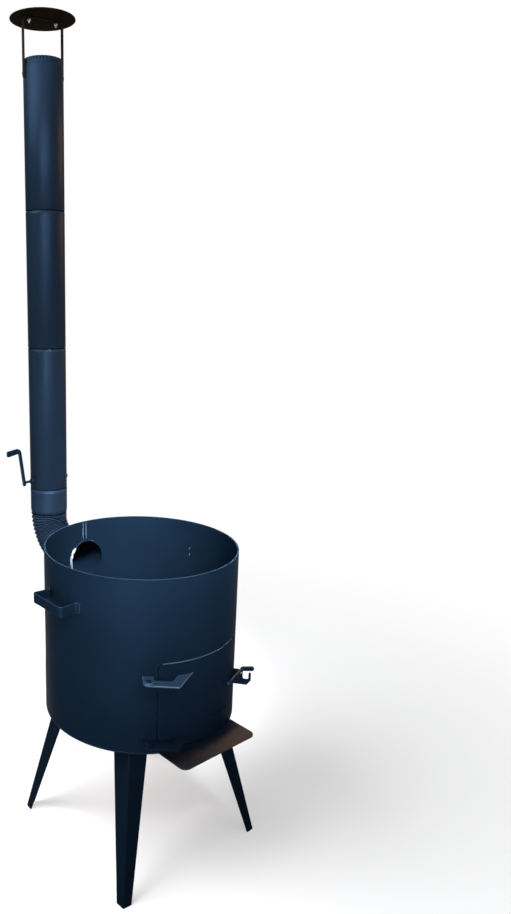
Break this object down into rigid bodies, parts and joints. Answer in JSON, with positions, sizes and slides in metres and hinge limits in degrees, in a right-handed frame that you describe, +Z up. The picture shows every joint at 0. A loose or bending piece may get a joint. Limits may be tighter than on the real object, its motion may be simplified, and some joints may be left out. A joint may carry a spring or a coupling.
{
  "type": "cauldron stove",
  "caption": "Steel drum stove for a cauldron, on folded legs, with a fire door, ash shelf, carry handles, and a slip-fit chimney with elbow, damper and rain cap.",
  "frame": {"origin": "on the ground, under the drum's axis", "axes": "+Z up, the fire door faces -Y, the chimney stands towards +Y"},
  "size_m": [0.4712, 0.6575, 1.7247],
  "materials": {
    "drum_paint": "satin heat-resistant blue-black paint",
    "pipe_paint": "satin heat-resistant grey-black paint",
    "zinc_steel": "zinc-plated fasteners",
    "bare_sheet": "bare rolled steel sheet",
    "grate_iron": "raw casting, lightly sooted"
  },
  "bodies": {
    "stove": {"drum_shell": "drum_paint", "floor_plate": "drum_paint", "leg_front_left": "drum_paint", "leg_front_right": "drum_paint", "leg_rear_right": "drum_paint", "leg_rear_left": "drum_paint", "carry_handle_left": "drum_paint", "carry_handle_right": "drum_paint", "hinge_tab_upper": "drum_paint", "hinge_tab_lower": "drum_paint", "hinge_bolts": "drum_paint", "hinge_nuts": "drum_paint", "latch_catch": "drum_paint", "flue_elbow": "pipe_paint", "grate_lugs": "drum_paint"},
    "door": {"door_panel": "drum_paint", "hinge_arm_upper": "drum_paint", "hinge_arm_lower": "drum_paint", "latch_pivot_bolt": "drum_paint", "latch_spacer": "drum_paint", "latch_nut": "drum_paint"},
    "latch": {"latch_lever": "drum_paint"},
    "grate": {"fire_grate": "grate_iron"},
    "lower_pipe": {"pipe_lower": "pipe_paint", "damper_bushes": "pipe_paint"},
    "damper": {"damper_shaft": "zinc_steel", "damper_disc": "bare_sheet", "damper_handle": "pipe_paint", "damper_screws": "zinc_steel"},
    "middle_pipe": {"pipe_middle": "pipe_paint"},
    "upper_pipe": {"pipe_upper": "pipe_paint", "cap_disc": "pipe_paint", "cap_strap": "pipe_paint", "cap_bolts": "zinc_steel", "cap_nuts": "zinc_steel", "strap_bolts": "zinc_steel", "strap_nuts": "zinc_steel"}
  },
  "joints": [
    {"name": "door_hinge", "type": "hinge", "parent": "stove", "child": "door", "pos_m": [-0.12902, -0.17758, 0.4], "axis": [0, 0, -1], "range_deg": [0, 120]},
    {"name": "latch_pivot", "type": "hinge", "parent": "door", "child": "latch", "pos_m": [0.07495, -0.19027, 0.393], "axis": [0.3665, -0.9304, 0], "range_deg": [0, 50]},
    {"name": "grate_lift", "type": "slide", "parent": "stove", "child": "grate", "axis": [0, 0, 1], "range_m": [0, 0.32]},
    {"name": "lower_pipe_lift", "type": "slide", "parent": "stove", "child": "lower_pipe", "axis": [0, 0, 1], "range_m": [0, 0.05]},
    {"name": "middle_pipe_lift", "type": "slide", "parent": "lower_pipe", "child": "middle_pipe", "axis": [0, 0, 1], "range_m": [0, 0.05]},
    {"name": "upper_pipe_lift", "type": "slide", "parent": "middle_pipe", "child": "upper_pipe", "axis": [0, 0, 1], "range_m": [0, 0.05]},
    {"name": "damper_turn", "type": "hinge", "parent": "lower_pipe", "child": "damper", "pos_m": [0, 0.342, 0.7225], "axis": [1, 0, 0], "range_deg": [0, 90]}
  ]
}
